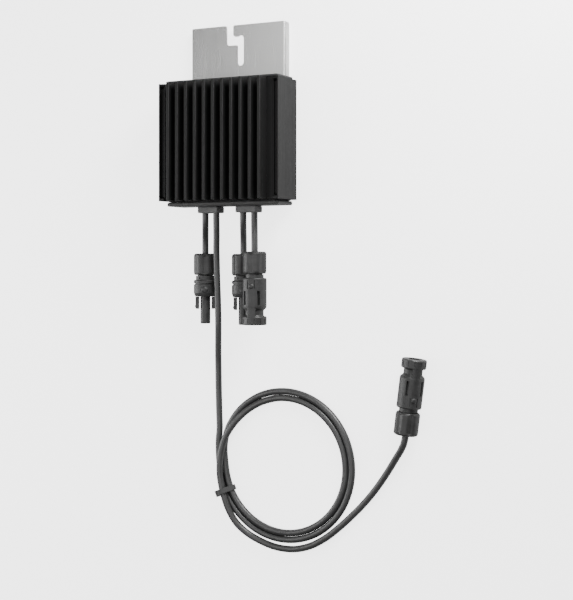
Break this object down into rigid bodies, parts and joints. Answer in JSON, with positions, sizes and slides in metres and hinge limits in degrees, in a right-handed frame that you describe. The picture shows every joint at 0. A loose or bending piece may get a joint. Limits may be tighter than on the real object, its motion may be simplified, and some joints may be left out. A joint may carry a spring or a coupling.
{
  "type": "module-level power optimiser",
  "caption": "Finned black box that tracks one solar panel's best power point, with a notched steel mounting bracket, plug-in leads and one long coiled lead.",
  "frame": {"origin": "bottom centre of the device without its leads, on the plane of the bracket flanges' rear edges", "axes": "+Z out through the cooling fins, +Y towards the bracket's free, notched end, -Y to the cable end, +X to the right seen from the fins"},
  "size_m": [0.2496, 0.4819, 0.0536],
  "materials": {
    "black_anodised_aluminium": "black anodised, fine extrusion lines",
    "cast_cap_aluminium": "dark coated, fine cast grain",
    "bright_sheet_steel": "plain rolled sheet, satin",
    "screw_steel": "plated",
    "black_rubber": "matt",
    "grommet_rubber": "smooth moulded, satin",
    "cable_jacket": "satin cross-linked sheath",
    "connector_plastic": "satin moulded, fine grain",
    "tinned_copper": "tin plated",
    "board_laminate": "solder mask",
    "ferrite": "fired ceramic, matt",
    "copper_wire": "enamelled copper",
    "moulded_black": "moulded, matt",
    "silicone_pad": "matt",
    "tie_nylon": "moulded nylon"
  },
  "bodies": {
    "device": {"bottom_cap_screw_1": "screw_steel", "bottom_cap_screw_2": "screw_steel", "bottom_cap_screw_3": "screw_steel", "bottom_cap_screw_4": "screw_steel", "bottom_end_cap": "cast_cap_aluminium", "bottom_gasket": "black_rubber", "bracket_screw_1": "screw_steel", "bracket_screw_2": "screw_steel", "bracket_screw_3": "screw_steel", "bracket_screw_4": "screw_steel", "cable_tie": "tie_nylon", "capacitor_1": "moulded_black", "capacitor_2": "moulded_black", "circuit_board": "board_laminate", "far_socket_body": "connector_plastic", "far_socket_contact": "tinned_copper", "far_socket_seal": "black_rubber", "heatsink_housing": "black_anodised_aluminium", "inductor_core": "ferrite", "inductor_winding": "copper_wire", "inner_lead": "cable_jacket", "inner_plug_body": "connector_plastic", "inner_plug_contact": "tinned_copper", "inner_plug_seal": "black_rubber", "left_grommet": "grommet_rubber", "left_lead": "cable_jacket", "left_plug_body": "connector_plastic", "left_plug_contact": "tinned_copper", "left_plug_seal": "black_rubber", "long_lead_coil": "cable_jacket", "long_lead_run": "cable_jacket", "long_lead_tail": "cable_jacket", "mounting_bracket": "bright_sheet_steel", "outer_lead": "cable_jacket", "outer_socket_body": "connector_plastic", "outer_socket_contact": "tinned_copper", "outer_socket_seal": "black_rubber", "power_transistor_1": "moulded_black", "power_transistor_2": "moulded_black", "right_grommet": "grommet_rubber", "terminal_block": "moulded_black", "thermal_pad": "silicone_pad", "top_cap_screw_1": "screw_steel", "top_cap_screw_2": "screw_steel", "top_cap_screw_3": "screw_steel", "top_cap_screw_4": "screw_steel", "top_end_cap": "cast_cap_aluminium", "top_gasket": "black_rubber"},
    "left_plug_cage_body": {"left_plug_cage": "moulded_black"},
    "left_plug_nut_body": {"left_plug_nut": "connector_plastic"},
    "left_plug_latch_a_body": {"left_plug_latch_a": "connector_plastic"},
    "left_plug_latch_b_body": {"left_plug_latch_b": "connector_plastic"},
    "inner_plug_cage_body": {"inner_plug_cage": "moulded_black"},
    "inner_plug_nut_body": {"inner_plug_nut": "connector_plastic"},
    "inner_plug_latch_a_body": {"inner_plug_latch_a": "connector_plastic"},
    "inner_plug_latch_b_body": {"inner_plug_latch_b": "connector_plastic"},
    "outer_socket_cage_body": {"outer_socket_cage": "moulded_black"},
    "outer_socket_nut_body": {"outer_socket_nut": "connector_plastic"},
    "far_socket_cage_body": {"far_socket_cage": "moulded_black"},
    "far_socket_nut_body": {"far_socket_nut": "connector_plastic"}
  },
  "joints": [
    {"name": "left_plug_cage_slide", "type": "slide", "parent": "device", "child": "left_plug_cage_body", "axis": [0, 1, 0], "range_m": [0, 0.0025]},
    {"name": "left_plug_nut_turn", "type": "hinge", "parent": "left_plug_cage_body", "child": "left_plug_nut_body", "pos_m": [-0.0323, -0.1317, 0.0109], "axis": [0, 1, 0], "range_deg": [0, 720]},
    {"name": "left_plug_latch_a_flex", "type": "hinge", "parent": "device", "child": "left_plug_latch_a_body", "pos_m": [-0.03898, -0.1638, 0.01431], "axis": [0.454, 0, 0.891], "range_deg": [0, 5], "stiffness_Nm_per_rad": 0.05},
    {"name": "left_plug_latch_b_flex", "type": "hinge", "parent": "device", "child": "left_plug_latch_b_body", "pos_m": [-0.02562, -0.1638, 0.00749], "axis": [-0.454, 0, -0.891], "range_deg": [0, 5], "stiffness_Nm_per_rad": 0.05},
    {"name": "inner_plug_cage_slide", "type": "slide", "parent": "device", "child": "inner_plug_cage_body", "axis": [0, 1, 0], "range_m": [0, 0.0025]},
    {"name": "inner_plug_nut_turn", "type": "hinge", "parent": "inner_plug_cage_body", "child": "inner_plug_nut_body", "pos_m": [0.0084, -0.1322, 0.0109], "axis": [0, 1, 0], "range_deg": [0, 720]},
    {"name": "inner_plug_latch_a_flex", "type": "hinge", "parent": "device", "child": "inner_plug_latch_a_body", "pos_m": [0.00172, -0.1643, 0.01431], "axis": [0.454, 0, 0.891], "range_deg": [0, 5], "stiffness_Nm_per_rad": 0.05},
    {"name": "inner_plug_latch_b_flex", "type": "hinge", "parent": "device", "child": "inner_plug_latch_b_body", "pos_m": [0.01508, -0.1643, 0.00749], "axis": [-0.454, 0, -0.891], "range_deg": [0, 5], "stiffness_Nm_per_rad": 0.05},
    {"name": "outer_socket_cage_slide", "type": "slide", "parent": "device", "child": "outer_socket_cage_body", "axis": [0, 1, 0], "range_m": [0, 0.0025]},
    {"name": "outer_socket_nut_turn", "type": "hinge", "parent": "outer_socket_cage_body", "child": "outer_socket_nut_body", "pos_m": [0.027, -0.1303, 0.0237], "axis": [0, 1, 0], "range_deg": [0, 720]},
    {"name": "far_socket_cage_slide", "type": "slide", "parent": "device", "child": "far_socket_cage_body", "axis": [-0.1276, -0.9918, 0], "range_m": [0, 0.0025]},
    {"name": "far_socket_nut_turn", "type": "hinge", "parent": "far_socket_cage_body", "child": "far_socket_nut_body", "pos_m": [0.16942, -0.27297, 0.0109], "axis": [-0.1276, -0.9918, 0], "range_deg": [0, 720]}
  ],
  "couplings": [
    {"joint": "left_plug_nut_turn", "follows": "left_plug_cage_slide", "rad_per_m": 5026.5},
    {"joint": "inner_plug_nut_turn", "follows": "inner_plug_cage_slide", "rad_per_m": 5026.5},
    {"joint": "outer_socket_nut_turn", "follows": "outer_socket_cage_slide", "rad_per_m": 5026.5},
    {"joint": "far_socket_nut_turn", "follows": "far_socket_cage_slide", "rad_per_m": 5026.5}
  ]
}
